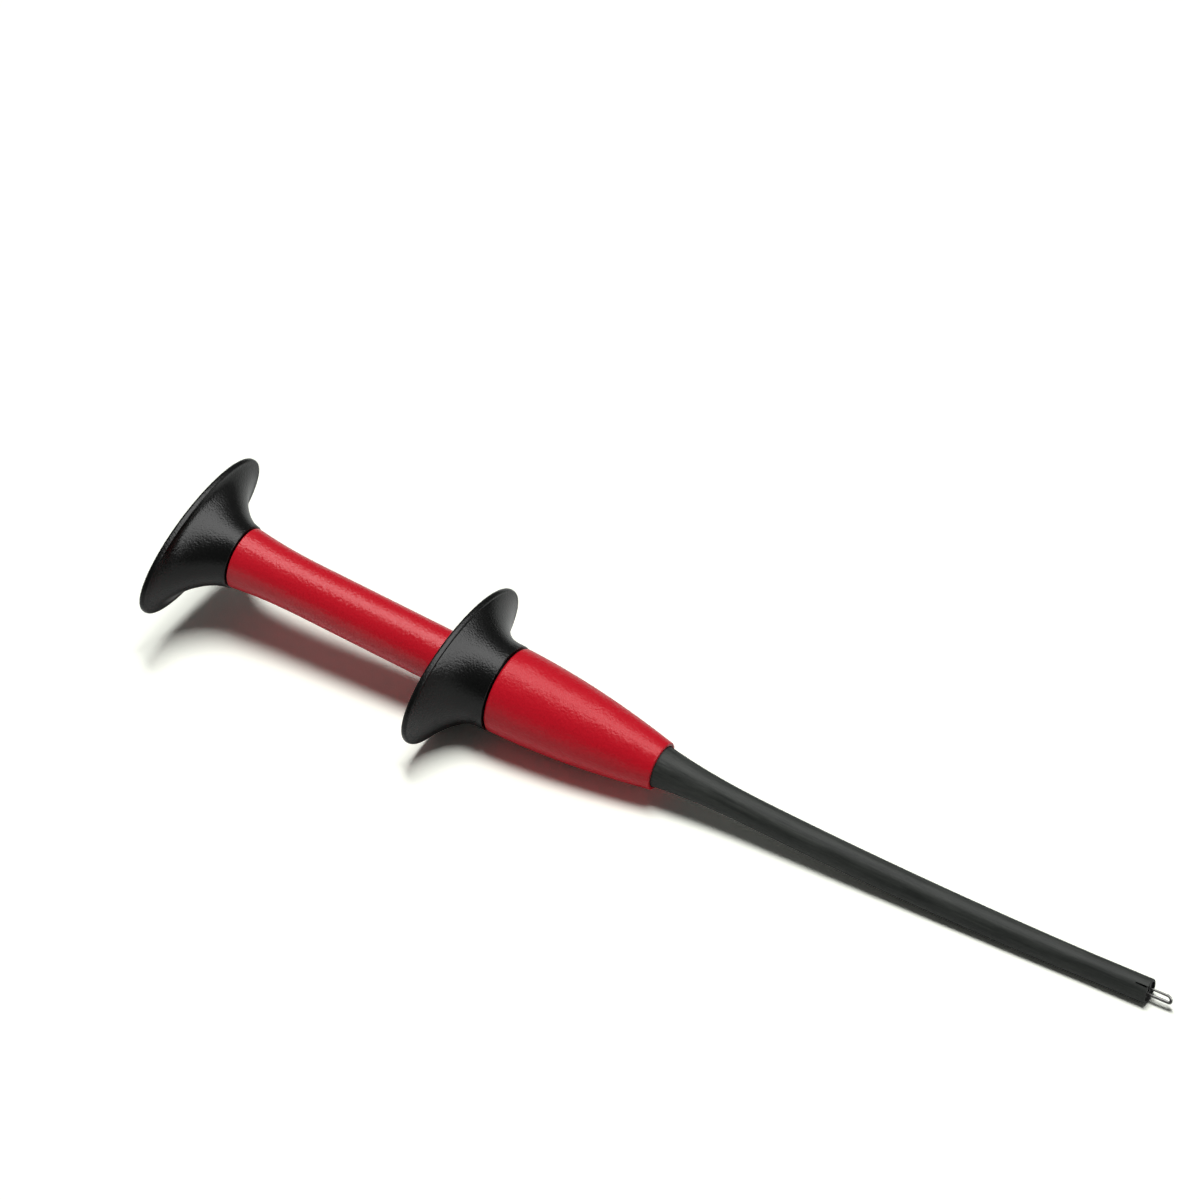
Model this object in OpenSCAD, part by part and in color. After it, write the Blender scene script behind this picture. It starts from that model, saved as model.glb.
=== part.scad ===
// Plunger test probe with a flexible shaft and a retracting hook.
// The handle is built along its own axis, +X to the tip, from the thumb
// button's rim at s = 0, and is then tilted to the way it lies on a table:
// on the finger flange's lower rim and the end of the shaft.

/* [Thumb button] */
// Width of the oval rim
button_w = 43.4; // [36:0.2:52]
// Height of the oval rim
button_h = 22.4; // [19:0.2:28]
// Rim to the end of the neck
button_len = 11.7; // [9:0.1:15]
// Diameter of the neck
button_neck_d = 14.4; // [13.8:0.1:15]
// Thickness of the rims
rim_t = 1.3; // [1:0.1:1.6]
// How far their rounding reaches in from the edge
rim_round = 0.4; // [0.3:0.05:0.6]
// Depth of the dished backs
dish = 3; // [1.5:0.25:3.5]
// Curve of the button's flare across its width and height, 2 is a circle's
button_curve = [[1.54, 1.72], [1.81, 2.09]];
// Angle of the button's oval on the tube
button_roll = 11; // [-20:1:20]

/* [Plunger] */
// Outer diameter of the plunger tube
tube_d = 11.7; // [11:0.1:12.4]
// Wall of the tube
tube_wall = 1.1; // [0.9:0.1:1.3]
// Diameter of the tube where it meets the button
tube_root_d = 13.7; // [12.6:0.1:14]
// Length of the flare at that end
tube_root_len = 18; // [12:0.5:24]
// Thumb rim to finger rim with the plunger out
grip_span = 65.4; // [55:0.2:80]
// Travel of the plunger and the hook
travel = 8; // [5:0.5:9]
// Diameter of the guide collar on the tube
collar_d = 13.5; // [13.3:0.1:13.8]
// Length of the guide collar
collar_len = 5; // [4:0.25:6]
// Diameter of the push rod
rod_d = 2.4; // [2:0.1:2.6]

/* [Socket] */
// Bore of the contact socket
plug_d = 4; // [4:0.01:4.1]
// Depth of that bore
plug_depth = 18; // [14:0.5:20]
// Outer diameter of the shroud's recess
shroud_d = 8.4; // [8.3:0.05:8.6]
// Depth of the recess
shroud_depth = 20; // [16:0.5:22]
// Wall of the contact socket
contact_wall = 0.55; // [0.45:0.05:0.6]
// Wall of the insulated post round it
post_wall = 0.5; // [0.4:0.05:0.6]
// Length of the contact's tail behind the insulator
tail_len = 5; // [4:0.5:6]

/* [Finger flange] */
// Width of the oval rim
flange_w = 43.4; // [38:0.2:52]
// Height of the oval rim
flange_h = 26.4; // [24:0.4:32]
// Rim to the seam with the body
flange_len = 11.8; // [10:0.2:14]
// Diameter of the neck
flange_neck_d = 19.2; // [18.6:0.1:20]
// Straight end of the neck
flange_collar = 1.6; // [0.8:0.1:2]
// Angle of the flange's oval on the table
flange_roll = 4; // [-8:1:8]
// Curve of its flare across its width and height
flange_curve = [[2.32, 1.16], [2.07, 0.73]];
// Wall of the guide bush
bush_wall = 1.1; // [0.9:0.1:1.3]
// Length of the guide bush in front of the seam
bush_in_body = 3.2; // [2.4:0.2:4]

/* [Body] */
// Length of the body shell
body_len = 37.3; // [36.5:0.1:46]
// Diameter at the seam
body_d = 18.8; // [18.4:0.1:19.6]
// Diameter at the nose, before its rounded lip
nose_d = 10.5; // [10.3:0.1:11]
// How late the body narrows
body_curve = 1.8; // [1.6:0.05:2.2]
// Radius of that lip
lip_r = 0.45; // [0.3:0.05:0.8]
// How far the flange's spigot enters the body
spigot_len = 4; // [3:0.25:5]
// Wall of the body over the spigot
body_wall = 1.2; // [1:0.1:1.4]
// Width of the guide key
key_w = 1.2; // [1:0.1:1.6]
// Height of the guide key above the bore
key_h = 0.5; // [0.3:0.05:0.55]

/* [Return spring] */
// Wire of the spring
spring_wire = 0.6; // [0.4:0.05:0.7]
// Outer diameter of the spring
spring_d = 11; // [9.6:0.2:12.4]
// Number of its turns
spring_turns = 5; // [4:1:6]
// Length of the spring with the plunger out
spring_len = 13.5; // [13:0.25:15]
// Thickness of the washer that it stands on
seat_t = 1; // [0.8:0.1:1.4]

/* [Flexible shaft] */
// Length that shows outside the nose
shaft_len = 111.9; // [90:0.1:150]
// Straight stretch at the nose
shaft_root = 20; // [10:1:26]
// Straight stretch at the tip
shaft_end = 14; // [10:1:20]
// Diameter at the nose
shaft_root_d = 9; // [8:0.1:9]
// Diameter past the root's flare
shaft_d = 6; // [5.7:0.1:7]
// Diameter at the tip
shaft_tip_d = 5.2; // [5.1:0.1:6]
// Length of the root's flare
shaft_flare = 26; // [16:1:30]
// How far the jacket goes into the nose
shaft_in = 8; // [6:0.5:8]
// Diameter of the jacket inside the nose
shaft_in_d = 6.6; // [6:0.1:6.8]
// Diameter of the liner
liner_d = 3.8; // [3.4:0.1:4]
// Diameter of the push wire
wire_d = 1.2; // [0.9:0.05:1.3]
// Wall of the anchor ferrule round the jacket
anchor_wall = 0.7; // [0.5:0.1:0.8]

/* [Hook] */
// Diameter of the hook's wire
hook_wire = 0.66; // [0.5:0.02:0.8]
// How far the hook stands out when drawn in
hook_out = 5; // [4:0.1:6]
// Radius of its bend, at the middle of the wire
hook_bend = 0.62; // [0.5:0.02:0.75]
// Length of its return leg
hook_leg = 5.2; // [4.4:0.1:6.4]
// Diameter at the leg's point
hook_point = 0.4; // [0.3:0.02:0.5]
// Direction of the leg round the shaft
hook_turn = 56; // [0:2:180]
// Diameter of the crimp ferrule
ferrule_d = 2.4; // [2.3:0.05:2.6]
// Outer diameter of the sleeve in the shaft's end
sleeve_d = 4.2; // [4.1:0.05:4.4]
// Length of the slit in the jacket's end
slit_len = 2.7; // [2:0.1:3.5]
// Width of the slit at the end face
slit_w = 0.5; // [0.3:0.05:0.7]
// Direction of the slit round the shaft
slit_turn = 119; // [90:1:180]

/* [Clearances] */
// Round every sliding piece
run = 0.05; // [0.02:0.01:0.08]
// Between the button and the tube, and the flange and the body
seam = 0.35; // [0.2:0.05:0.5]
// Between a stop and what it meets
stop_gap = 0.1; // [0.05:0.05:0.3]
// Round loose pieces inside
play = 0.2; // [0.15:0.05:0.3]

/* [Hidden] */
$fn = 64;
e = 0.01;

black_c = [0.07, 0.07, 0.075];
red_c = [0.72, 0.11, 0.17];
rubber_c = [0.17, 0.18, 0.17];
ivory_c = [0.86, 0.84, 0.78];
brass_c = [0.80, 0.66, 0.36];
steel_c = [0.72, 0.73, 0.75];
nickel_c = [0.78, 0.77, 0.72];

// along the handle
seam_s = grip_span + flange_len;      // end of the finger flange's neck
body_s = seam_s + seam;               // rear face of the body shell
nose_s = body_s + body_len;           // front face of the body shell
tube_s = button_len + seam;           // rear face of the tube
tube_r = tube_d / 2;
tube_in = tube_r - tube_wall;
bush_r = tube_r + run + bush_wall;
bush_front = seam_s + bush_in_body;
collar_s = bush_front + stop_gap;     // rear face of the guide collar
collar_r = collar_d / 2;
chamber_r = collar_r + run;
spring_s = collar_s + collar_len;     // rear end of the spring
tube_end = spring_s - collar_len * 0.3;
plug_s = tube_end - collar_len;       // rear end of the guide's plug in the tube
seat_s = spring_s + spring_len;
seat_r = chamber_r - 0.5;
key_s = body_s + spigot_len + 0.1;    // the key clears the flange's spigot
key_len = collar_s + collar_len + travel + 0.5 - key_s;
key_seat = 0.4;                       // depth of the key's seat in the wall
coupling_r = rod_d / 2 + 0.45;
rod_front = spring_s + 1;
coupling_front = seat_s - 1;
wire_rear = coupling_front - 3;       // fixed end of the wire in the coupling
jacket_s = nose_s - shaft_in;         // rear face of the jacket
anchor_len = shaft_in - 1.6;
anchor_r = shaft_in_d / 2 + anchor_wall;
liner_s = jacket_s - 0.6;
contact_r = plug_d / 2 + contact_wall;
post_r = contact_r + post_wall;
floor_s = dish + 0.2;                 // rear face of the socket's insulator
shroud_floor = floor_s + shroud_depth;
insulator_end = shroud_floor + 4;
contact_s = floor_s + 1;
contact_end = insulator_end + tail_len;
rod_rear = contact_end - tail_len * 0.8;
tail_r = contact_r - 0.3;

// the jacket's curve: straight at the nose, an arc through the tilt, straight
bend_s = nose_s + shaft_root;
bend_end = shaft_len - shaft_end;
arc_len = bend_end - shaft_root;
tip_r = shaft_tip_d / 2;
taper = 2.5;
function rad(a) = a * PI / 180;
// the taper's bulge below the straight stretch, lifted clear of the table
function sag(b) = pow((shaft_d - shaft_tip_d) / 2 * taper / bend_end, 2)
                  * arc_len / rad(b) / 2;
rim_half = norm([(flange_h / 2 - rim_round) * cos(flange_roll),
                 (flange_w / 2 - rim_round) * sin(flange_roll)]);
function rim_z(b) = (grip_span + rim_t / 2) * sin(b) + rim_half * cos(b)
                    + norm([rim_t / 2 * sin(b), rim_round * cos(b)]);
function drop(b) = arc_len / rad(b) * (1 - cos(b));
// height error of the shaft's end over the table, for a tilt b
function miss(b) = rim_z(b) - bend_s * sin(b) - drop(b) - tip_r - sag(b);
function solve(lo, hi, n) = n == 0 ? (lo + hi) / 2
    : let (m = (lo + hi) / 2) miss(m) > 0 ? solve(m, hi, n - 1) : solve(lo, m, n - 1);
tilt = solve(0.5, 20, 40);
arc_r = arc_len / rad(tilt);
bend_z = rim_z(tilt) - bend_s * sin(tilt);
tip_z = bend_z - drop(tilt);

// x of the whole: the thumb rim's lower edge to the hook's end
tip_reach = bend_s * cos(tilt) + arc_r * sin(tilt) + shaft_end;
rear_x = -button_h / 2 * sin(tilt);
origin_x = -(tip_reach + hook_out + rear_x) / 2;
tip_x = origin_x + tip_reach;

module place() translate([origin_x, 0, rim_z(tilt)]) rotate([0, tilt, 0]) children();
// a point of the handle's axis, and the shaft's arc after it
function turn_at(t) = t <= shaft_root ? tilt : t >= bend_end ? 0
    : tilt * (bend_end - t) / arc_len;
function path(t) = let (a = turn_at(t), back = min(0, t - shaft_root))
    [origin_x + (bend_s + back) * cos(tilt) + arc_r * (sin(tilt) - sin(a))
        + max(0, t - bend_end), 0,
     bend_z - arc_r * (cos(a) - cos(tilt)) - back * sin(tilt)];
function ring_at(t, r, n) = let (p = path(t), a = turn_at(t))
    [for (i = [0 : n - 1]) let (u = 360 * i / n)
        [p[0] + r * sin(u) * sin(a), r * cos(u), p[2] + r * sin(u) * cos(a)]];

// a closed skin over rings with the same number of points, along +X
module skin(rings) {
    n = len(rings[0]);
    m = len(rings);
    pts = [for (r = rings) for (p = r) p];
    polyhedron(points = pts, convexity = 6, faces = concat(
        [[for (i = [0 : n - 1]) i]],
        [for (j = [0 : m - 2]) for (i = [0 : n - 1]) let (k = (i + 1) % n)
            [j * n + i, (j + 1) * n + i, j * n + k]],
        [for (j = [0 : m - 2]) for (i = [0 : n - 1]) let (k = (i + 1) % n)
            [j * n + k, (j + 1) * n + i, (j + 1) * n + k]],
        [[for (i = [n - 1 : -1 : 0]) (m - 1) * n + i]]));
}
function oval(s, a, b, n = 56) = [for (i = [0 : n - 1]) let (u = 360 * i / n)
    [s, a * cos(u), b * sin(u)]];

// solid of revolution along +X from [s, r] points
module turned(pts) rotate([0, 90, 0]) rotate_extrude() polygon([for (p = pts) [p[1], p[0]]]);
module bore(s0, s1, r) translate([s0, 0, 0]) rotate([0, 90, 0]) cylinder(r = r, h = s1 - s0);

// oval trumpet: flared front, rounded rim, dished back, round neck
module trumpet(w, h, length, neck_d, core_r, curve, collar = 0) {
    nr = neck_d / 2;
    q = rim_t / 2;
    a0 = w / 2 - rim_round;
    b0 = h / 2 - rim_round;
    flare = length - collar - rim_t;
    dish_n = 7;
    front_n = 12;
    function f(t, c) = 1 - pow(1 - pow(1 - t, c[0]), 1 / c[1]);
    skin(concat(
        [for (j = [dish_n : -1 : 1]) let (v = j / dish_n)
            oval(dish * (1 - cos(180 * v)) / 2,
                 core_r + (a0 - core_r) * (1 - v), core_r + (b0 - core_r) * (1 - v))],
        [for (a = [-90 : 30 : 90])
            oval(q + q * sin(a), a0 + rim_round * cos(a), b0 + rim_round * cos(a))],
        [for (j = [1 : front_n]) let (t = pow(j / front_n, 2))
            oval(rim_t + flare * t,
                 nr + (a0 - nr) * f(t, curve[0]), nr + (b0 - nr) * f(t, curve[1]))],
        collar > 0 ? [oval(length, nr, nr)] : []));
}

// ---- plunger ----
module thumb_button() color(black_c) place() difference() {
    rotate([button_roll, 0, 0])
        trumpet(button_w, button_h, button_len, button_neck_d, tube_in + 1.2, button_curve);
    bore(-1, button_len + 1, tube_in);
}

module socket_insulator() color(black_c) place() turned([
    [floor_s, shroud_d / 2], [floor_s, tube_in], [insulator_end, tube_in],
    [insulator_end, tail_r], [shroud_floor - 2, tail_r], [shroud_floor - 2, contact_r],
    [floor_s + 0.5, contact_r], [floor_s + 0.5, post_r], [shroud_floor, post_r],
    [shroud_floor, shroud_d / 2]]);

module contact_socket() color(brass_c) place() difference() {
    turned([[contact_s, 0], [contact_s, contact_r - 0.2], [contact_s + 0.2, contact_r],
            [shroud_floor - 2, contact_r], [shroud_floor - 2, tail_r],
            [contact_end, tail_r], [contact_end, 0]]);
    bore(contact_s - 1, contact_s + plug_depth, plug_d / 2);
    bore(rod_rear, contact_end + 1, rod_d / 2);
}

module contact_clip() color(steel_c) place()
    turned([[insulator_end, tail_r], [insulator_end, tube_in - play],
            [insulator_end + 0.8, tube_in - play], [insulator_end + 0.8, tail_r]]);

module plunger_tube() color(red_c) place() turned(concat(
    [[tube_s, tube_in], [tube_s, tube_root_d / 2 - 0.25], [tube_s + 0.25, tube_root_d / 2]],
    [for (j = [1 : 10]) let (v = j / 10)
        [tube_s + 0.25 + (tube_root_len - 0.25) * v,
         tube_r + (tube_root_d - tube_d) / 2 * pow(1 - v, 2.4)]],
    [[tube_end, tube_r], [tube_end, tube_in]]));

module push_rod() color(steel_c) place() bore(rod_rear, rod_front, rod_d / 2);

module plunger_guide() color(ivory_c) place() difference() {
    turned([[collar_s, tube_r], [collar_s, collar_r - 0.2], [collar_s + 0.2, collar_r],
            [spring_s - 0.2, collar_r], [spring_s, collar_r - 0.2],
            [spring_s, rod_d / 2], [plug_s, rod_d / 2], [plug_s, tube_in],
            [tube_end, tube_in], [tube_end, tube_r]]);
    // groove for the key
    translate([collar_s - 1, -key_w / 2 - run, chamber_r - key_h - play])
        cube([collar_len + 2, key_w + 2 * run, key_h + play + 1]);
}

module wire_coupling() color(brass_c) place() difference() {
    bore(spring_s, coupling_front, coupling_r);
    bore(spring_s - 1, rod_front, rod_d / 2);
    bore(rod_front - e, coupling_front + 1, wire_d / 2 + run);
}

// ---- handle ----
module return_spring() color(steel_c) {
    w = spring_wire / 2;
    m = spring_d / 2 - w;
    steps = spring_turns * 12;
    run_s = spring_len - 2 * w - 0.04;
    lead = atan(run_s / (spring_turns * 2 * PI * m));
    place() skin([for (j = [0 : steps]) let (u = 360 * spring_turns * j / steps,
                      c = [spring_s + w + 0.02 + run_s * j / steps, m * cos(u), m * sin(u)],
                      ra = [0, cos(u), sin(u)],
                      ax = [cos(lead), sin(u) * sin(lead), -cos(u) * sin(lead)])
        [for (i = [5 : -1 : 0]) let (a = 60 * i) c + w * cos(a) * ra + w * sin(a) * ax]]);
}

module spring_seat() color(steel_c) place()
    turned([[seat_s, coupling_r + play], [seat_s, seat_r],
            [seat_s + seat_t, seat_r], [seat_s + seat_t, coupling_r + play]]);

module finger_flange() color(black_c) place() difference() {
    union() {
        translate([grip_span, 0, 0]) rotate([flange_roll, 0, 0])
            trumpet(flange_w, flange_h, flange_len, flange_neck_d, bush_r + 1, flange_curve,
                    flange_collar);
        bore(seam_s - 1, body_s + spigot_len, body_d / 2 - body_wall);
    }
    bore(grip_span - 1, body_s + spigot_len + 1, bush_r);
}

module guide_bush() color(ivory_c) place()
    turned([[grip_span + dish + 0.3, tube_r + run], [grip_span + dish, tube_r + run + 0.3],
            [grip_span + dish, bush_r], [bush_front, bush_r], [bush_front, tube_r + run]]);

module guide_key() color(steel_c) place()
    translate([key_s, -key_w / 2, chamber_r - key_h]) cube([key_len, key_w, key_h + key_seat]);

// outline of the body, [s, r], bowed between the seam and the nose
function body_r(v) = body_d / 2 - (body_d - nose_d) / 2 * pow(v, body_curve);
module body_shell() color(red_c) place() difference() {
    turned(concat(
        [[body_s, 0], [body_s, body_d / 2 - 0.4], [body_s + 0.4, body_r(0.4 / body_len)]],
        [for (j = [1 : 12]) let (s = (body_len - lip_r) * j / 12) [body_s + s, body_r(s / body_len)]],
        [for (a = [60, 30, 0]) [nose_s - lip_r + lip_r * cos(a),
            body_r(1 - lip_r / body_len) - lip_r + lip_r * sin(a)]],
        [[nose_s, 0]]));
    bore(body_s - 1, body_s + spigot_len, body_d / 2 - body_wall);
    bore(body_s, seat_s, chamber_r);
    bore(seat_s - e, seat_s + seat_t, seat_r);
    bore(seat_s, jacket_s + 0.4, coupling_r + play);
    bore(jacket_s - 0.6, jacket_s - 0.6 + anchor_len + 0.6, anchor_r);
    bore(jacket_s, nose_s + 1, shaft_in_d / 2);
    bore(nose_s - 1, nose_s + 1, shaft_root_d / 2 + 0.15);
    translate([key_s, -key_w / 2, chamber_r - key_h]) cube([key_len, key_w, key_h + key_seat]);
}

module nose_anchor() color(brass_c) place()
    turned([[jacket_s - 0.6, liner_d / 2], [jacket_s - 0.6, anchor_r],
            [jacket_s + anchor_len, anchor_r], [jacket_s + anchor_len, shaft_in_d / 2],
            [jacket_s, shaft_in_d / 2], [jacket_s, liner_d / 2]]);

// ---- flexible shaft ----
sides = 24;
core_sides = 16;
// sizes behind the tip, measured back from the shaft's end
bush_len = 5;
ferrule_r = ferrule_d / 2;
crimp_len = 3;                            // of the hook in its ferrule
ferrule_front = bush_len + travel + 1;
wire_end = ferrule_front + crimp_len + 1.5;
ferrule_len = crimp_len + 1.5 + travel + 2;
front_len = ferrule_front + ferrule_len + 1;
core_end = shaft_len - front_len;         // where the liner meets the sleeve
function jacket_r(t) = (t >= bend_end ? tip_r
        : shaft_d / 2 - (shaft_d - shaft_tip_d) / 2 * pow(max(0, t) / bend_end, taper))
    + (t < shaft_flare ? (shaft_root_d - shaft_d) / 2 * pow(1 - t / shaft_flare, 2.6) : 0);
arc_n = 10;
arc_steps = [for (i = [1 : arc_n - 1]) shaft_flare + (bend_end - shaft_flare) * i / arc_n];
core_steps = concat([0, shaft_flare], [for (t = arc_steps) if (t < core_end * 0.98) t]);
module tip(turn = hook_turn) translate([tip_x, 0, tip_z]) rotate([turn - 90, 0, 0]) children();

module flexible_shaft() color(rubber_c) difference() {
    skin(concat(
        [ring_at(-shaft_in, shaft_in_d / 2, sides), ring_at(-1.02, shaft_in_d / 2, sides),
         ring_at(-1, shaft_root_d / 2, sides), ring_at(0, shaft_root_d / 2, sides)],
        [for (i = [1 : 8], t = [shaft_flare * i / 8]) ring_at(t, jacket_r(t), sides)],
        [for (t = arc_steps) ring_at(t, jacket_r(t), sides)],
        [ring_at(bend_end, tip_r, sides)],
        [for (a = [0, 30, 60, 85]) ring_at(shaft_len - 0.3 + 0.3 * sin(a),
                                          tip_r - 0.3 + 0.3 * cos(a), sides)]));
    skin([for (t = concat([-shaft_in - 1], core_steps, [core_end + 0.5]))
        ring_at(t, liner_d / 2, core_sides)]);
    tip() bore(-front_len, 1, sleeve_d / 2);
    // slit that lets the end stretch over the sleeve
    tip(slit_turn) translate([0, 0, sleeve_d / 2 - 0.2]) linear_extrude(height = 1.5)
        polygon([[1, slit_w / 2], [1, -slit_w / 2], [-slit_len, -slit_w / 4], [-slit_len, slit_w / 4]]);
}

module shaft_liner() color(ivory_c) difference() {
    skin([for (t = concat([-shaft_in - 0.6], core_steps, [core_end - 0.1]))
        ring_at(t, liner_d / 2, core_sides)]);
    skin([for (t = concat([-shaft_in - 1.6], core_steps, [core_end + 1]))
        ring_at(t, wire_d / 2, 12)]);
}

module push_wire() color(steel_c)
    skin([for (t = concat([wire_rear - nose_s, 0, shaft_flare], arc_steps,
                          [shaft_len - wire_end]))
        ring_at(t, wire_d / 2, 12)]);

module tip_sleeve() color(black_c) tip() difference() {
    bore(-front_len, -0.4, sleeve_d / 2);
    bore(-front_len - 1, 0, ferrule_r + 0.08);
}

module tip_bush() color(black_c) tip() difference() {
    bore(-bush_len, -0.4, ferrule_r + 0.08);
    // both legs of the hook run in one flat hole, so it can't turn
    translate([-bush_len - 1, -hook_wire / 2 - run, -hook_bend - hook_wire / 2 - run])
        cube([bush_len + 2, hook_wire + 2 * run, 2 * hook_bend + hook_wire + 2 * run]);
}

module hook() color(nickel_c) {
    $fn = 24;
    bend_x = hook_out - hook_bend - hook_wire / 2;
    tip() {
        translate([0, 0, -hook_bend]) bore(-ferrule_front - crimp_len, bend_x, hook_wire / 2);
        translate([bend_x, 0, 0]) rotate([90, 0, 0])
            rotate([0, 0, -90]) rotate_extrude(angle = 180)
                translate([hook_bend, 0]) circle(d = hook_wire);
        translate([bend_x, 0, hook_bend]) rotate([0, -90, 0])
            cylinder(d1 = hook_wire, d2 = hook_point, h = hook_leg);
    }
}

module hook_ferrule() color(brass_c) tip() difference() {
    bore(-ferrule_front - ferrule_len, -ferrule_front, ferrule_r);
    translate([0, 0, -hook_bend]) bore(-ferrule_front - crimp_len, 0, hook_wire / 2);
    bore(-ferrule_front - ferrule_len - 1, -ferrule_front - crimp_len + e, wire_d / 2 + play);
}

thumb_button();
socket_insulator();
contact_socket();
contact_clip();
plunger_tube();
push_rod();
plunger_guide();
wire_coupling();
return_spring();
spring_seat();
finger_flange();
guide_bush();
guide_key();
body_shell();
nose_anchor();
flexible_shaft();
shaft_liner();
push_wire();
tip_sleeve();
tip_bush();
hook();
hook_ferrule();
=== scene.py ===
import bpy
from math import cos, sin, pi, radians
from mathutils import Vector, Matrix


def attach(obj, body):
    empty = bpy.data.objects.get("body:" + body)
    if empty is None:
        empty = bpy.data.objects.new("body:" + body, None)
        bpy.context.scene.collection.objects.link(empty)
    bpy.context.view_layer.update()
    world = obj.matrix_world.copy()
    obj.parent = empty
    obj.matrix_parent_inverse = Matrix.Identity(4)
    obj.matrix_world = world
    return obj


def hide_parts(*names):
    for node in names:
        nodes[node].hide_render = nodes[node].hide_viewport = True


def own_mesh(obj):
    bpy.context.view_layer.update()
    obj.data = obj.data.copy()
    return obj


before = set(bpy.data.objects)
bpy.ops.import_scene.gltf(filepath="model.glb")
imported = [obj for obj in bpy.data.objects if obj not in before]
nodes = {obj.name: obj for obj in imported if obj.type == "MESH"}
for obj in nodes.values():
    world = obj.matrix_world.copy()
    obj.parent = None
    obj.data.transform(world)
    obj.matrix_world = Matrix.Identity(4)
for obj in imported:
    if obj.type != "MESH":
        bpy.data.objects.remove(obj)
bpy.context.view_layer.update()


# ---------------------------------------------------------------------------
# View. The probe lies across the table and is seen from its front right,
# from above, through a long lens.
look_at = Vector((-0.043030, 0.045366, 0))
view_yaw, view_height, view_distance = radians(31.391), radians(41.468), 1.0943
toward = Vector((sin(view_yaw) * cos(view_height), -cos(view_yaw) * cos(view_height),
                 sin(view_height)))
rightward = Vector((cos(view_yaw), sin(view_yaw), 0))
upward = toward.cross(rightward)
camera = bpy.data.objects.new("camera", bpy.data.cameras.new("camera"))
bpy.context.scene.collection.objects.link(camera)
turn = Matrix((rightward, upward, toward)).transposed().to_4x4()
camera.matrix_world = Matrix.Translation(look_at + toward * view_distance) @ turn
camera.data.sensor_width = 36
camera.data.lens = 153.48
camera.data.clip_start, camera.data.clip_end = 0.05, 20
bpy.context.scene.camera = camera
bpy.context.scene.view_settings.view_transform = "Standard"


# ---------------------------------------------------------------------------
# Table and light. A white sweep of paper under a soft box that hangs high over
# the probe; a long veil of cloth beside it fills the gloss from above and right.
class Wire:
    """A socket of a shader, on which sums are written as on a number."""

    def __init__(self, tree, socket=None):
        self.tree, self.socket = tree, socket

    def node(self, kind, settings=None, values=None, out=0):
        """A new node, with its settings first and then its values or links."""
        made = self.tree.nodes.new("ShaderNode" + kind)
        for name, setting in (settings or {}).items():
            setattr(made, name, setting)
        for name, value in (values or {}).items():
            if isinstance(value, Wire):
                self.tree.links.new(value.socket, made.inputs[name])
            else:
                made.inputs[name].default_value = value
        return Wire(self.tree, made.outputs[out])

    def feed(self, values, shader="Principled BSDF"):
        """Values or links for the shader that the surface ends in."""
        for name, value in values.items():
            socket = self.tree.nodes[shader].inputs[name]
            if isinstance(value, Wire):
                self.tree.links.new(value.socket, socket)
            else:
                socket.default_value = value

    def blend(self, share, dark, light):
        """A colour that runs from dark to light with the share."""
        return self.node("Mix", {"data_type": "RGBA"},
                         {"Factor": share, 6: (*dark, 1), 7: (*light, 1)}, out=2)

    def relief(self, strength, depth, height):
        """A surface raised by the height, up to the depth in metres."""
        return self.node("Bump", {}, {"Strength": strength, "Distance": depth,
                                      "Height": height}, out="Normal")

    def sum(self, operation, *terms):
        return self.node("Math", {"operation": operation}, dict(enumerate(terms)))

    def __add__(self, other): return self.sum("ADD", self, other)
    def __radd__(self, other): return self.sum("ADD", other, self)
    def __sub__(self, other): return self.sum("SUBTRACT", self, other)
    def __rsub__(self, other): return self.sum("SUBTRACT", other, self)
    def __mul__(self, other): return self.sum("MULTIPLY", self, other)
    def __rmul__(self, other): return self.sum("MULTIPLY", other, self)


def paint(name):
    """A new material and a wire in its tree."""
    material = bpy.data.materials.new(name)
    material.use_nodes = True
    return material, Wire(material.node_tree)


def lamp(name, width, depth, watts, place):
    """A rectangular lamp that shines straight down."""
    light = bpy.data.lights.new(name, "AREA")
    light.shape, light.size, light.size_y, light.energy = "RECTANGLE", width, depth, watts
    made = bpy.data.objects.new(name, light)
    bpy.context.scene.collection.objects.link(made)
    made.location = place
    return made


paper, wire = paint("paper")
seen = wire.node("LightPath", out="Is Camera Ray")
white = wire.blend(seen, (0.74, 0.76, 0.74), (1.17, 1.2, 1.1))
matt = wire.node("BsdfDiffuse", {}, {"Color": white})
wire.tree.links.new(matt.socket, wire.tree.nodes["Material Output"].inputs["Surface"])
sheet = bpy.data.meshes.new("table")
sheet.from_pydata([(-3, -3, 0), (3, -3, 0), (3, 3, 0), (-3, 3, 0)], [], [(0, 1, 2, 3)])
sheet.materials.append(paper)
table = bpy.data.objects.new("table", sheet)
bpy.context.scene.collection.objects.link(table)

# The soft box casts the shadow and the veil makes the gloss, so that each has
# the size that its own work needs.
soft_box = lamp("soft_box", 0.34, 1.05, 36, (-0.04, 0.03, 2))
soft_box.rotation_euler = (Vector((0, 0, 0.01)) - soft_box.location).to_track_quat(
    "-Z", "Y").to_euler()
soft_box.visible_glossy = False
veil = lamp("veil", 2.33, 0.7, 26, (0.375, 0.2, 0.8))
veil.rotation_euler = (0, radians(15), 0)
veil.visible_diffuse = False

walls = bpy.data.worlds.new("walls")
bpy.context.scene.world = walls
walls.use_nodes = True
wire = Wire(walls.node_tree)
seen = wire.node("LightPath", out="Is Camera Ray")
wire.feed({"Color": (1, 1, 1, 1), "Strength": 0.08 + seen * 0.92}, "Background")


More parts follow.
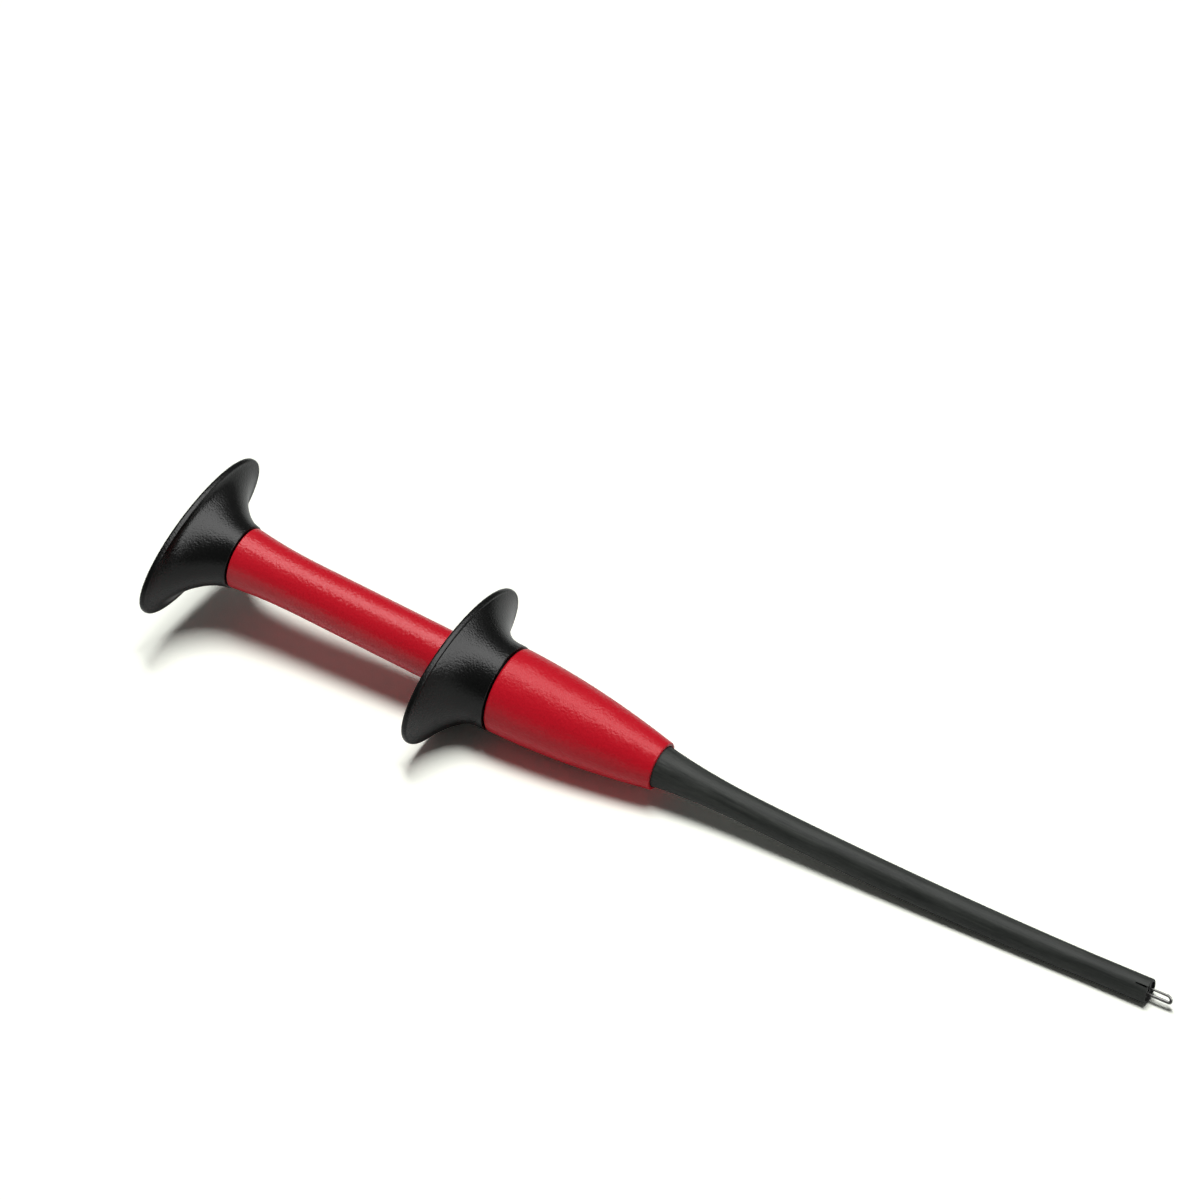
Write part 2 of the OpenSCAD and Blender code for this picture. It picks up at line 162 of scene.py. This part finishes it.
# ---------------------------------------------------------------------------
# Thumb button. An oval trumpet moulded in black polyamide, with a fine spark
# finish, a thin rounded rim and a dished back, pressed on the plunger tube.
mm = 0.001
tilt = radians(5.619914)   # the handle leans on the flange's rim
handle = (Matrix.Translation((-0.114940, 0, 0.0196645)) @
          Matrix.Rotation(tilt, 4, "Y") @ Matrix.Scale(mm, 4))
crisp = radians(40)        # edges that bend more than this stay sharp


def piece(name, points, faces, finish, body, stands_for, slot):
    """A mesh that rides on a body and stands for a node."""
    mesh = bpy.data.meshes.new(name)
    mesh.from_pydata(points, [], faces)
    mesh.validate()
    mesh.shade_smooth()
    mesh.set_sharp_from_angle(angle=crisp)
    mesh.materials.append(finish)
    made = bpy.data.objects.new(name, mesh)
    bpy.context.scene.collection.objects.link(made)
    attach(made, body)
    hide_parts(stands_for)
    return made


def rings(loops, closed=True):
    """Points and faces of a skin over rings; closed runs the last into the first."""
    n, m = len(loops[0]), len(loops)
    faces = [(j * n + i, j * n + (i + 1) % n,
              (j + 1) % m * n + (i + 1) % n, (j + 1) % m * n + i)
             for j in range(m if closed else m - 1) for i in range(n)]
    if not closed:
        faces += [tuple(range(n))[::-1], tuple(range((m - 1) * n, m * n))]
    return [p for loop in loops for p in loop], faces


def oval(s, a, b, roll=0, n=144):
    """A ring round the handle, s along it; a and b are half its width and height."""
    ring = []
    for i in range(n):
        u = 2 * pi * i / n
        y, z = a * cos(u), b * sin(u)
        ring.append(handle @ Vector((s, y * cos(roll) - z * sin(roll),
                                     y * sin(roll) + z * cos(roll))))
    return ring


def trumpet(rear, width, height, length, neck, core, bore, curve, neck_end, roll):
    """Rings of an oval flange, from its bore over the dished back and rim to its neck."""
    rim, edge, step, crease, dish, ease = 1.3, 0.4, 0.2, 0.02, 3.0, 0.12
    a, b, neck_r = width / 2 - edge, height / 2 - edge, neck / 2

    def flare(t, m, n):
        return 1 - (1 - (1 - t) ** m) ** (1 / n)

    loops = [oval(rear + dish + ease, bore, bore, roll),
             oval(rear + dish, bore + ease, bore + ease, roll)]
    for j in range(15, 0, -1):
        v = j / 16
        loops.append(oval(rear + dish * (1 - cos(pi * v)) / 2, core + (a - core) * (1 - v),
                          core + (b - core) * (1 - v), roll))
    for k in range(13):
        bow = radians(-90 + 15 * k)
        loops.append(oval(rear + rim / 2 * (1 + sin(bow)), a + edge * cos(bow),
                          b + edge * cos(bow), roll))
    for j in range(37):
        t = (j / 36) ** 2
        loops.append(oval(rear + rim + crease + (length - rim - crease) * t,
                          neck_r + (a - step - neck_r) * flare(t, *curve[0]),
                          neck_r + (b - step - neck_r) * flare(t, *curve[1]), roll))
    loops += [oval(s, r, r, roll) for s, r in neck_end]
    return loops + [oval(neck_end[-1][0], bore, bore, roll)]


black_plastic, wire = paint("black_moulded_plastic")
spot = wire.node("TexCoord", out="Object")
spark = wire.node("TexNoise", {}, {"Vector": spot, "Scale": 2300, "Detail": 1.5,
                                   "Roughness": 0.6})
swell = wire.node("TexNoise", {}, {"Vector": spot, "Scale": 260, "Detail": 2})
wipe = wire.node("TexNoise", {}, {"Vector": spot, "Scale": 70, "Detail": 5,
                                  "Roughness": 0.65})
wire.feed({"Base Color": wire.blend(spark * 0.6 + wipe * 0.4, (0.0016, 0.0018, 0.0017),
                                    (0.0048, 0.0052, 0.0048)),
           "Roughness": 0.2 + wipe * 0.1 + spark * 0.08,
           "Specular IOR Level": 0.3,
           "Normal": wire.relief(0.9, 0.00008, spark + swell * 0.3)})

button = trumpet(rear=0, width=43.4, height=22.4, length=11.55, neck=14.4, core=5.95,
                 bore=4.75, curve=((1.54, 1.72), (1.81, 2.09)), neck_end=[(11.7, 7.05)],
                 roll=radians(11))
piece("thumb_button_skin", *rings(button), black_plastic, "plunger",
      "thumb_button", "button_black")


# ---------------------------------------------------------------------------
# Plunger tube. Red polyamide, extruded and turned, with a short flare where
# the button sits against it; it slides in and out of the body.
def rounded(corners, steps=4):
    """A closed outline from (along, out, fillet) corners."""
    line = []
    for i, (s, r, fillet) in enumerate(corners):
        here = Vector((s, r))
        if not fillet:
            line.append(here)
            continue
        before = Vector(corners[i - 1][:2]) - here
        after = Vector(corners[(i + 1) % len(corners)][:2]) - here
        a = here + before.normalized() * min(fillet, before.length * 0.49)
        b = here + after.normalized() * min(fillet, after.length * 0.49)
        for k in range(steps + 1):
            t = k / steps
            line.append(a * (1 - t) ** 2 + here * 2 * t * (1 - t) + b * t * t)
    return line


def turned(corners, n=128):
    """A skin turned round the handle's axis from its outline."""
    return rings([oval(s, r, r, 0, n) for s, r in rounded(corners)])


def red_polyamide(name, gloss, sheen, dents):
    """Red plastic; gloss is its least roughness, dents the depth of its waves."""
    material, wire = paint(name)
    spot = wire.node("TexCoord", out="Object")
    spark = wire.node("TexNoise", {}, {"Vector": spot, "Scale": 1700, "Detail": 1.5,
                                       "Roughness": 0.62})
    swell = wire.node("TexNoise", {}, {"Vector": spot, "Scale": 190, "Detail": 2})
    wipe = wire.node("TexNoise", {}, {"Vector": spot, "Scale": 55, "Detail": 5,
                                      "Roughness": 0.6})
    wire.feed({"Base Color": wire.blend(spark * 0.5 + wipe * 0.5, (0.54, 0.0050, 0.0150),
                                        (0.64, 0.0090, 0.0240)),
               "Roughness": gloss + wipe * 0.08 + spark * 0.08,
               "Specular IOR Level": sheen,
               "Normal": wire.relief(1.0, 0.0001, spark + swell * dents)})
    return material


tube_rear, tube_front, tube_r, tube_bore = 12.05, 84.0, 5.85, 4.75
flare_start, flare_len, flare_power = 12.3, 17.75, 2.4
outline = [(tube_rear, tube_bore, 0), (tube_rear, tube_r + 1, 0.28)]
outline += [(flare_start + flare_len * j / 20, tube_r + (1 - j / 20) ** flare_power, 0)
            for j in range(1, 21)]
outline += [(tube_front, tube_r, 0.1), (tube_front, tube_bore, 0)]
piece("plunger_tube_skin", *turned(outline),
      red_polyamide("red_extruded_plastic", gloss=0.2, sheen=0.36, dents=1),
      "plunger", "plunger_tube", "plunger_red")


# ---------------------------------------------------------------------------
# Finger flange. The second black trumpet, snapped on the rear of the body by
# a spigot, with room in its bore for the white guide bush.
spigot_r, spigot_end = 8.2, 81.55
finger = trumpet(rear=65.4, width=43.4, height=26.4, length=10.2, neck=19.2, core=8,
                 bore=7, curve=((2.32, 1.16), (2.07, 0.73)),
                 neck_end=[(77.05, 9.6), (77.2, 9.45), (77.2, spigot_r),
                           (spigot_end, spigot_r)],
                 roll=radians(4))
piece("finger_flange_skin", *rings(finger), black_plastic, "handle",
      "finger_flange", "flange_black")


# ---------------------------------------------------------------------------
# Body. A red moulded shell, bowed and tapered to the nose, with a small
# chamfer at the seam and a rounded lip round the shaft.
body_rear, body_len, lip_start, lip_r = 77.55, 37.3, 114.4, 0.45
nose, nose_bore = 114.85, 4.65


def body_r(s):
    """Radius of the bowed taper."""
    return 9.4 - 4.15 * ((s - body_rear) / body_len) ** 1.8


outline = [(body_rear, spigot_r, 0.1), (body_rear, 9.0, 0.12),
           (body_rear + 0.4, body_r(body_rear + 0.4), 0.2)]
outline += [(s, body_r(s), 0)
            for s in (body_rear + 0.4 + 36.45 * j / 28 for j in range(1, 29))]
outline += [(lip_start + lip_r * cos(radians(a)),
             body_r(lip_start) - lip_r + lip_r * sin(radians(a)), 0)
            for a in (75, 60, 45, 30, 15, 0)]
# Inside, from the nose back: the seats of the jacket and its anchor, the
# wire's hole, the washer's seat, and the chamber of the spring.
outline += [(nose, nose_bore, 0), (113.85, nose_bore, 0), (113.85, 4.0, 0),
            (106.25, 4.0, 0), (106.25, 1.85, 0), (100, 1.85, 0), (100, 6.3, 0),
            (99, 6.3, 0), (99, 6.8, 0), (spigot_end, 6.8, 0), (spigot_end, spigot_r, 0)]
piece("body_shell_skin", *turned(outline, 160),
      red_polyamide("red_moulded_plastic", gloss=0.25, sheen=0.23, dents=3),
      "handle", "body_shell", "body_red")


# ---------------------------------------------------------------------------
# Flexible shaft. A dark rubber jacket over a push wire, moulded into the nose
# with a flared root; it droops to the table and ends in a slotted face.
shaft_len, bend_start, bend_end = 111.9, 20, 97.9
tip_r, tip_round, liner_r, sleeve_r, sleeve_start = 2.6, 0.3, 1.9, 2.1, 82.4
bend_r = (bend_end - bend_start) / tilt
bend = handle @ Vector((nose + bend_start, 0, 0)) / mm


def lay(t):
    """Point of the shaft's axis and its slope, t millimetres past the nose."""
    a = min(tilt, max(0, (bend_end - t) / bend_r))
    back = min(0, t - bend_start)
    x = bend.x + back * cos(tilt) + bend_r * (sin(tilt) - sin(a)) + max(0, t - bend_end)
    return Vector((x, 0, bend.z - back * sin(tilt) - bend_r * (cos(a) - cos(tilt)))), a


def hoop(t, r, n=72):
    """A ring of the jacket, square to the bend."""
    p, a = lay(t)
    return [mm * (p + Vector((r * sin(u) * sin(a), r * cos(u), r * sin(u) * cos(a))))
            for u in (2 * pi * i / n for i in range(n))]


def jacket_r(t):
    """Radius of the jacket: a slow taper, and the flare of its root."""
    return (3 - 0.4 * min(1, max(0, t) / bend_end) ** 2.5
            + 1.5 * max(0, 1 - t / 26) ** 2.6)


rubber, wire = paint("rubber")
along = wire.node("Attribute", {"attribute_name": "along"}, out="Vector")
drawn_out = wire.node("VectorMath", {"operation": "MULTIPLY"}, {0: along, 1: (0.06, 1, 1)})
spot = wire.node("TexCoord", out="Object")
streak = wire.node("TexNoise", {}, {"Vector": drawn_out, "Scale": 0.9, "Detail": 4,
                                    "Roughness": 0.7})
bloom = wire.node("TexNoise", {}, {"Vector": spot, "Scale": 90, "Detail": 4,
                                   "Roughness": 0.6})
fine = wire.node("TexNoise", {}, {"Vector": spot, "Scale": 2800, "Detail": 2})
wire.feed({"Base Color": wire.blend(streak * 3 + bloom - 1.5, (0.010, 0.0122, 0.0104),
                                    (0.036, 0.0396, 0.035)),
           "Roughness": 0.4 + streak * 0.3 + bloom * 0.06,
           "Specular IOR Level": 0.3,
           "Normal": wire.relief(0.6, 0.0002, streak + fine * 0.3)})

loops = [hoop(-8, liner_r), hoop(-8, 3.3), hoop(-1.02, 3.3), hoop(-1, 4.5)]
loops += [hoop(t, jacket_r(t)) for t in (0, 1, 2, 3, 4.5, 6, 8, 10, 12, 14, 16, 18, 20, 23)]
loops += [hoop(t, jacket_r(t)) for t in range(26, 107, 4)]
loops += [hoop(t, tip_r) for t in (107.5, 108.5, 109, 109.5, 110, 110.5, 111)]
loops += [hoop(shaft_len - tip_round + tip_round * sin(radians(a)),
               tip_r - tip_round + tip_round * cos(radians(a)))
          for a in (0, 15, 30, 45, 60, 75, 90)]
loops += [hoop(shaft_len, sleeve_r), hoop(sleeve_start, sleeve_r)]
loops += [hoop(t, liner_r) for t in (sleeve_start, 76, 60, 40, 20, 0)]
jacket = piece("shaft_jacket", *rings(loops), rubber, "handle", "flexible_shaft",
               "jacket_rubber")

# The slit in the end lets the jacket stretch over the sleeve.
slit_turn = (Matrix.Translation(lay(shaft_len)[0] * mm) @
             Matrix.Rotation(radians(29), 4, "X") @ Matrix.Scale(mm, 4))
wedge = [(1, 0.25), (1, -0.25), (-2.7, -0.125), (-2.7, 0.125)]
cutter = bpy.data.meshes.new("slit")
cutter.from_pydata([slit_turn @ Vector((x, y, z)) for z in (1.9, 3.4) for x, y in wedge], [],
                   [(0, 1, 2, 3), (7, 6, 5, 4), (0, 4, 5, 1), (1, 5, 6, 2),
                    (2, 6, 7, 3), (3, 7, 4, 0)])
knife = bpy.data.objects.new("slit", cutter)
bpy.context.scene.collection.objects.link(knife)
cut = jacket.modifiers.new("slit", "BOOLEAN")
cut.object, cut.operation, cut.solver = knife, "DIFFERENCE", "EXACT"
slit_jacket = bpy.data.meshes.new_from_object(
    jacket.evaluated_get(bpy.context.evaluated_depsgraph_get()))
jacket.modifiers.clear()
jacket.data = slit_jacket
slit_jacket.set_sharp_from_angle(angle=crisp)
bpy.data.objects.remove(knife)

# The streaks follow the bend, so each point keeps its place along the shaft.
course = slit_jacket.attributes.new("along", "FLOAT_VECTOR", "POINT")
for place, vertex in zip(course.data, slit_jacket.vertices):
    x, y, z = vertex.co / mm
    t = x - bend.x + bend_start
    place.vector = (t, y, z - lay(t)[0].z)


# ---------------------------------------------------------------------------
# Hook. Spring-steel wire, nickel plated, bent back on itself with its leg
# ground to a point; it is crimped in a ferrule on the push wire.
nickel, wire = paint("nickel")
spot = wire.node("TexCoord", out="Object")
drawn_out = wire.node("VectorMath", {"operation": "MULTIPLY"}, {0: spot, 1: (0.1, 1, 1)})
drawn = wire.node("TexNoise", {}, {"Vector": drawn_out, "Scale": 5200, "Detail": 2})
dull = wire.node("TexNoise", {}, {"Vector": spot, "Scale": 700, "Detail": 4})
wire.feed({"Base Color": wire.blend(dull, (0.15, 0.15, 0.145), (0.28, 0.275, 0.265)),
           "Metallic": 1.0, "Roughness": 0.24 + dull * 0.14,
           "Normal": wire.relief(0.12, 0.00003, drawn)})

# In the hook's own plane: the shank, the skewed bend, and the leg that gets
# thinner toward its point, as (along, across, radius).
wire_r, half_gap, skew, reach, leg_len = 0.33, 0.62, 0.3, 5, 4.83
bend_x = reach - 0.69 - wire_r
course = [(-17, -half_gap, wire_r), (bend_x, -half_gap, wire_r)]
course += [(bend_x + half_gap * sin(radians(a)) + skew * cos(radians(a)),
            -half_gap * cos(radians(a)), wire_r - 0.06 * a / 180)
           for a in range(0, 190, 10)]
course += [(bend_x - skew - leg_len * k / 12, half_gap, 0.27 - 0.07 * k / 12)
           for k in range(1, 12)]
course += [(bend_x - skew - leg_len + x, half_gap, r)
           for x, r in ((0.1, 0.2), (0.04, 0.17), (0, 0.08))]
hook_turn = (Matrix.Translation(lay(shaft_len)[0] * mm) @
             Matrix.Rotation(radians(-34), 4, "X") @ Matrix.Scale(mm, 4))
loops = []
for i, (x, z, r) in enumerate(course):
    ahead = Vector(course[min(i + 1, len(course) - 1)][:2]) - Vector(course[max(i - 1, 0)][:2])
    side = Vector((-ahead.y, ahead.x)).normalized()
    loops.append([hook_turn @ Vector((x + side.x * r * sin(u), r * cos(u),
                                      z + side.y * r * sin(u)))
                  for u in (2 * pi * k / 32 for k in range(32))])
piece("hook_wire_skin", *rings(loops, closed=False), nickel, "hook_clip", "hook", "hook_nickel")


# ---------------------------------------------------------------------------
# Inner pieces. Turned brass contact, steel rod and washer, white acetal
# guides; they are made as solids and only get their finish here.
def turned_metal(name, dark, light, gloss):
    """Bright metal with the fine rings that a lathe leaves."""
    material, wire = paint(name)
    spot = wire.node("TexCoord", out="Object")
    rub = wire.node("TexNoise", {}, {"Vector": spot, "Scale": 420, "Detail": 5,
                                     "Roughness": 0.65})
    tool_marks = wire.node("TexWave", {"bands_direction": "X"},
                           {"Vector": spot, "Scale": 1500, "Distortion": 1.5, "Detail": 2})
    wire.feed({"Base Color": wire.blend(rub, dark, light), "Metallic": 1.0,
               "Roughness": gloss + rub * 0.15,
               "Normal": wire.relief(0.1, 0.00002, tool_marks + rub * 0.4)})
    return material


brass = turned_metal("turned_brass", (0.56, 0.40, 0.16), (0.76, 0.60, 0.30), 0.18)
steel = turned_metal("bright_steel", (0.42, 0.42, 0.43), (0.62, 0.62, 0.63), 0.2)

acetal, wire = paint("white_acetal")
spot = wire.node("TexCoord", out="Object")
cloud = wire.node("TexNoise", {}, {"Vector": spot, "Scale": 160, "Detail": 4})
mill = wire.node("TexNoise", {}, {"Vector": spot, "Scale": 2400, "Detail": 2})
wire.feed({"Base Color": wire.blend(cloud, (0.66, 0.63, 0.55), (0.78, 0.76, 0.69)),
           "Roughness": 0.32 + cloud * 0.14,
           "Normal": wire.relief(0.15, 0.00004, mill)})

for finish, names in [
        (brass, "contact_socket wire_coupling nose_anchor hook_ferrule"),
        (steel, "contact_clip push_rod spring_seat guide_key push_wire"),
        (acetal, "plunger_guide guide_bush shaft_liner"),
        (black_plastic, "socket_insulator tip_sleeve tip_bush")]:
    for name in names.split():
        mesh = nodes[name].data
        mesh.materials.clear()
        mesh.materials.append(finish)


# ---------------------------------------------------------------------------
# Return spring. Five open turns of 0.6 mm steel wire between the guide collar
# and the washer; it shortens as the plunger is pressed in.
turns, coil_r, spring_r, coil_start, coil_len = 5, 5.2, 0.3, 85.82, 12.86
climb = coil_len / (2 * pi * turns * coil_r)
loops = []
for j in range(241):
    u = 2 * pi * turns * j / 240
    loops.append([handle @ Vector((
        coil_start + coil_len * j / 240 + spring_r * sin(a),
        (coil_r + spring_r * cos(a)) * cos(u) + spring_r * sin(a) * sin(u) * climb,
        (coil_r + spring_r * cos(a)) * sin(u) - spring_r * sin(a) * cos(u) * climb))
        for a in (2 * pi * k / 16 for k in range(16, 0, -1))])
coil = piece("return_spring_coil", *rings(loops, closed=False), steel, "handle",
             "return_spring", "spring_steel")
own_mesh(coil)
